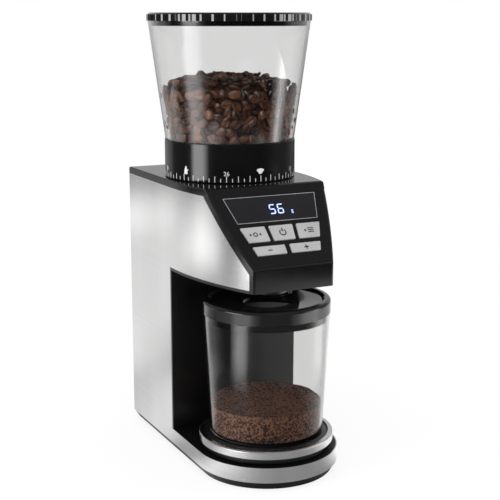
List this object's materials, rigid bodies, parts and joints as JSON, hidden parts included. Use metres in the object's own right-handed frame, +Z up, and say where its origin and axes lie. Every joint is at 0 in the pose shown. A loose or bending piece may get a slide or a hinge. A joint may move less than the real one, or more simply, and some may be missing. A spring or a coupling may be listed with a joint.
{
  "type": "burr coffee grinder",
  "caption": "Tall conical-burr coffee grinder: clear bean hopper on a dial ring, brushed steel body with sloping control panel, weighing platform and lidded clear jar.",
  "frame": {"origin": "on the table under the middle of the machine's bounding box", "axes": "+Z up, -Y towards the front with the control panel, +X to the viewer's right"},
  "size_m": [0.1428, 0.2237, 0.387],
  "materials": {
    "brushed_steel": "fine horizontal brushing",
    "black_gloss": "polished black moulding",
    "black_satin": "satin black moulding",
    "clear_jar": "clear",
    "clear_hopper": "clear",
    "key_silver": "silver grey satin",
    "display_black": "dark clear window",
    "rubber": "matt",
    "tool_steel": "ground and hardened",
    "cast_alloy": "as cast",
    "bronze": "sintered bush",
    "gear_nylon": "natural nylon",
    "board_green": "solder mask",
    "motor_steel": "zinc plated",
    "screw_steel": "plated"
  },
  "bodies": {
    "housing": {"left_side_panel": "brushed_steel", "right_side_panel": "brushed_steel", "base_band": "brushed_steel", "fascia": "black_gloss", "top_cover": "black_gloss", "base_pan": "black_satin", "base_deck": "black_satin", "column_front": "black_satin", "head_floor": "black_satin", "back_cover": "black_satin", "cord_gland": "black_satin", "discharge_chute": "black_satin", "front_catch": "black_satin", "display_window": "display_black", "display_module": "display_black", "rubber_feet": "rubber", "idler_pin": "tool_steel", "grind_chamber": "cast_alloy", "gear_plate": "cast_alloy", "load_cell": "cast_alloy", "shaft_bush_lower": "bronze", "shaft_bush_upper": "bronze", "motor_bushes": "bronze", "push_switches": "gear_nylon", "control_board": "board_green", "power_board": "board_green", "motor_can": "motor_steel", "motor_end_cap": "motor_steel", "motor_magnets": "motor_steel", "base_screws": "screw_steel", "plate_screws": "screw_steel", "chamber_screws": "screw_steel", "motor_screws": "screw_steel", "control_board_screws": "screw_steel", "power_board_screws": "screw_steel"},
    "platform": {"platform_tray": "black_satin", "platform_rim": "brushed_steel"},
    "jar": {"jar": "clear_jar"},
    "jar_lid": {"jar_lid": "black_gloss"},
    "dial": {"adjust_ring": "black_gloss"},
    "hopper": {"hopper": "clear_hopper"},
    "hopper_lid": {"hopper_lid": "black_gloss"},
    "carrier": {"burr_carrier": "black_satin", "ring_burr": "tool_steel"},
    "burr_drive": {"burr_shaft": "tool_steel", "main_gear": "gear_nylon", "impeller": "black_satin", "cone_burr": "tool_steel", "burr_nut": "tool_steel"},
    "idler": {"idler_gear": "gear_nylon"},
    "rotor": {"motor_shaft": "tool_steel", "armature": "tool_steel", "commutator": "bronze", "motor_pinion": "bronze"},
    "left_button_body": {"left_button": "key_silver"},
    "power_button_body": {"power_button": "key_silver"},
    "right_button_body": {"right_button": "key_silver"},
    "minus_button_body": {"minus_button": "key_silver"},
    "plus_button_body": {"plus_button": "key_silver"}
  },
  "joints": [
    {"name": "platform_press", "type": "slide", "parent": "housing", "child": "platform", "axis": [0, 0, -1], "range_m": [0, 0.0004], "stiffness_N_per_m": 40000, "springref_m": -0.0004},
    {"name": "jar_pull", "type": "slide", "parent": "platform", "child": "jar", "axis": [0, -1, 0], "range_m": [0, 0.16]},
    {"name": "jar_lid_lift", "type": "slide", "parent": "jar", "child": "jar_lid", "axis": [0, 0, 1], "range_m": [0, 0.007]},
    {"name": "dial_turn", "type": "hinge", "parent": "housing", "child": "dial", "pos_m": [0, 0.022, 0.26], "axis": [0, 0, 1], "range_deg": [-126, 66]},
    {"name": "hopper_lift", "type": "slide", "parent": "dial", "child": "hopper", "axis": [0, 0, 1], "range_m": [0, 0.05]},
    {"name": "hopper_lid_lift", "type": "slide", "parent": "hopper", "child": "hopper_lid", "axis": [0, 0, 1], "range_m": [0, 0.04]},
    {"name": "carrier_feed", "type": "slide", "parent": "housing", "child": "carrier", "axis": [0, 0, 1], "range_m": [-0.00083, 0.00043]},
    {"name": "motor_spin", "type": "hinge", "parent": "housing", "child": "rotor", "pos_m": [0, 0.072, 0.12], "axis": [0, 0, 1], "continuous": true},
    {"name": "idler_spin", "type": "hinge", "parent": "housing", "child": "idler", "pos_m": [0.01897, 0.05141, 0.18], "axis": [0, 0, 1], "continuous": true},
    {"name": "burr_spin", "type": "hinge", "parent": "housing", "child": "burr_drive", "pos_m": [0, 0.022, 0.2], "axis": [0, 0, 1], "continuous": true},
    {"name": "left_key_press", "type": "slide", "parent": "housing", "child": "left_button_body", "axis": [0, 0.7513, -0.66], "range_m": [0, 0.001], "stiffness_N_per_m": 400},
    {"name": "power_key_press", "type": "slide", "parent": "housing", "child": "power_button_body", "axis": [0, 0.7513, -0.66], "range_m": [0, 0.001], "stiffness_N_per_m": 400},
    {"name": "right_key_press", "type": "slide", "parent": "housing", "child": "right_button_body", "axis": [0, 0.7513, -0.66], "range_m": [0, 0.001], "stiffness_N_per_m": 400},
    {"name": "minus_key_press", "type": "slide", "parent": "housing", "child": "minus_button_body", "axis": [0, 0.7513, -0.66], "range_m": [0, 0.001], "stiffness_N_per_m": 400},
    {"name": "plus_key_press", "type": "slide", "parent": "housing", "child": "plus_button_body", "axis": [0, 0.7513, -0.66], "range_m": [0, 0.001], "stiffness_N_per_m": 400}
  ],
  "couplings": [
    {"joint": "dial_turn", "follows": "carrier_feed", "rad_per_m": 2618},
    {"joint": "idler_spin", "follows": "motor_spin", "ratio": -0.33333},
    {"joint": "burr_spin", "follows": "motor_spin", "ratio": 0.083333}
  ]
}
